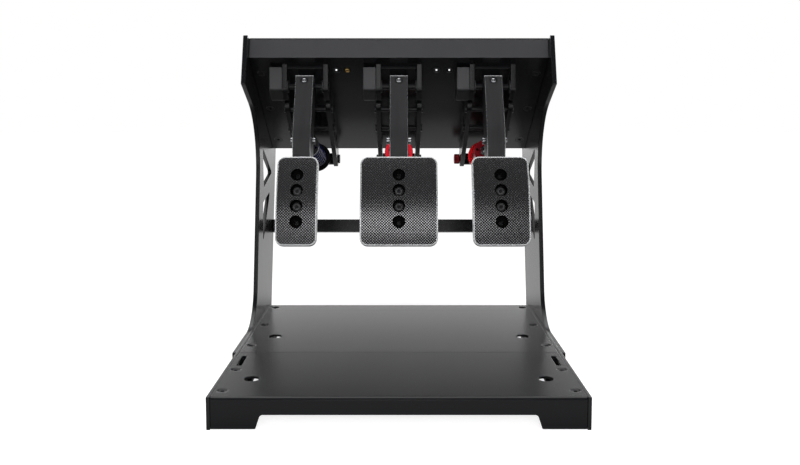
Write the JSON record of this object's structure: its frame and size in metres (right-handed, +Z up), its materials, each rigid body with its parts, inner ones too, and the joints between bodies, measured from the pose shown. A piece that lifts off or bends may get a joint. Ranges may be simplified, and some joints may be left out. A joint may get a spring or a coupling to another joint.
{
  "type": "sim racing pedal set",
  "caption": "Hanging pedal set in a free-standing steel frame: sprung arms with curved pads under a tilted deck, over a low base with a heel plate.",
  "frame": {"origin": "middle of the bounding box, on the floor", "axes": "+Z up, -Y towards the driver, +X to the driver's right"},
  "size_m": [0.4164, 0.4962, 0.4284],
  "materials": {
    "black_powder_coat": "satin black powder coat on steel",
    "black_screws": "black oxide steel screws and pins",
    "black_plastic": "matt black moulded plastic",
    "brass": "turned brass",
    "steel": "bright turned steel",
    "black_anodised": "brushed black anodised aluminium with bare edges",
    "bare_aluminium": "machined bright aluminium",
    "dark_grip": "dark anodised face with a fine knurl",
    "red_anodised": "red anodised aluminium",
    "grey_anodised": "grey anodised aluminium",
    "blue_spring": "dark blue coated spring wire",
    "elastomer": "dark elastomer rings"
  },
  "bodies": {
    "frame": {"heel_plate": "black_powder_coat", "floor_plate": "black_powder_coat", "base_rail_left": "black_powder_coat", "base_rail_right": "black_powder_coat", "countersunk_screws": "black_screws", "side_panel_left": "black_powder_coat", "side_panel_right": "black_powder_coat", "frame_bolts": "black_screws", "cross_bar": "black_powder_coat", "deck": "black_powder_coat", "deck_cover": "black_powder_coat", "control_board": "black_plastic", "axle_bushes": "black_plastic", "rear_pins": "black_screws", "cheek_spacers": "steel", "clutch_yoke": "black_powder_coat", "clutch_sensor_housing": "black_plastic", "clutch_cheeks": "black_powder_coat", "brake_yoke": "black_powder_coat", "brake_sensor_housing": "black_plastic", "brake_cheeks": "black_powder_coat", "throttle_yoke": "black_powder_coat", "throttle_sensor_housing": "black_plastic", "throttle_cheeks": "black_powder_coat"},
    "clutch_pedal": {"clutch_axle": "black_screws", "clutch_arm": "black_anodised", "clutch_pad_carrier": "black_anodised", "clutch_pad": "bare_aluminium", "clutch_pad_grip": "dark_grip", "clutch_pad_screws": "black_screws", "clutch_arm_bolts": "steel"},
    "clutch_strut": {"clutch_trunnion": "grey_anodised", "clutch_spring": "blue_spring"},
    "clutch_rod": {"clutch_strut_rod": "steel", "clutch_spring_cup": "grey_anodised"},
    "brake_pedal": {"brake_axle": "black_screws", "brake_arm": "black_anodised", "brake_pad_carrier": "black_anodised", "brake_pad": "bare_aluminium", "brake_pad_grip": "dark_grip", "brake_pad_screws": "black_screws", "brake_arm_bolts": "steel"},
    "brake_strut": {"brake_trunnion": "black_anodised", "brake_spring": "elastomer"},
    "brake_rod": {"brake_strut_rod": "steel", "brake_spring_cup": "red_anodised"},
    "throttle_pedal": {"throttle_axle": "black_screws", "throttle_arm": "black_anodised", "throttle_pad_carrier": "black_anodised", "throttle_pad": "bare_aluminium", "throttle_pad_grip": "dark_grip", "throttle_pad_screws": "black_screws", "throttle_arm_bolts": "steel"},
    "throttle_strut": {"throttle_trunnion": "red_anodised", "throttle_spring": "steel"},
    "throttle_rod": {"throttle_strut_rod": "steel", "throttle_spring_cup": "red_anodised"},
    "dial": {"sensitivity_dial": "brass"},
    "knob": {"throttle_knob": "red_anodised"}
  },
  "joints": [
    {"name": "clutch_press", "type": "hinge", "parent": "frame", "child": "clutch_pedal", "pos_m": [-0.126, 0.04042, 0.36204], "axis": [1, 0, 0], "range_deg": [0, 20], "stiffness_Nm_per_rad": 9, "springref_deg": -12.61},
    {"name": "clutch_strut_turn", "type": "hinge", "parent": "frame", "child": "clutch_strut", "pos_m": [-0.126, 0.1942, 0.25524], "axis": [1, 0, 0], "range_deg": [0, 1.03]},
    {"name": "clutch_rod_slide", "type": "slide", "parent": "clutch_strut", "child": "clutch_rod", "axis": [0, 0.9832, -0.1827], "range_m": [0, 0.02756], "deforming": ["clutch_spring"]},
    {"name": "brake_press", "type": "hinge", "parent": "frame", "child": "brake_pedal", "pos_m": [0, 0.04042, 0.36204], "axis": [1, 0, 0], "range_deg": [0, 11], "stiffness_Nm_per_rad": 48, "springref_deg": -5.16},
    {"name": "brake_strut_turn", "type": "hinge", "parent": "frame", "child": "brake_strut", "pos_m": [0, 0.1942, 0.25524], "axis": [1, 0, 0], "range_deg": [0, 0.86]},
    {"name": "brake_rod_slide", "type": "slide", "parent": "brake_strut", "child": "brake_rod", "axis": [0, 0.9832, -0.1827], "range_m": [0, 0.01509], "deforming": ["brake_spring"]},
    {"name": "throttle_press", "type": "hinge", "parent": "frame", "child": "throttle_pedal", "pos_m": [0.126, 0.04042, 0.36204], "axis": [1, 0, 0], "range_deg": [0, 18], "stiffness_Nm_per_rad": 8, "springref_deg": -12.61},
    {"name": "throttle_strut_turn", "type": "hinge", "parent": "frame", "child": "throttle_strut", "pos_m": [0.126, 0.1942, 0.25524], "axis": [1, 0, 0], "range_deg": [0, 1.04]},
    {"name": "throttle_rod_slide", "type": "slide", "parent": "throttle_strut", "child": "throttle_rod", "axis": [0, 0.9832, -0.1827], "range_m": [0, 0.02477], "deforming": ["throttle_spring"]},
    {"name": "sensitivity_turn", "type": "hinge", "parent": "frame", "child": "dial", "pos_m": [-0.07, 0.04631, 0.38446], "axis": [0, 0.5572, 0.8304], "range_deg": [-135, 135]},
    {"name": "knob_turn", "type": "hinge", "parent": "frame", "child": "knob", "pos_m": [0.08985, 0.1942, 0.25524], "axis": [1, 0, 0], "continuous": true}
  ],
  "couplings": [
    {"joint": "clutch_strut_turn", "follows": "clutch_press", "ratio": 0.0505},
    {"joint": "clutch_rod_slide", "follows": "clutch_press", "m_per_rad": 0.078654},
    {"joint": "brake_strut_turn", "follows": "brake_press", "ratio": 0.0764},
    {"joint": "brake_rod_slide", "follows": "brake_press", "m_per_rad": 0.078102},
    {"joint": "throttle_strut_turn", "follows": "throttle_press", "ratio": 0.0565},
    {"joint": "throttle_rod_slide", "follows": "throttle_press", "m_per_rad": 0.078528}
  ]
}
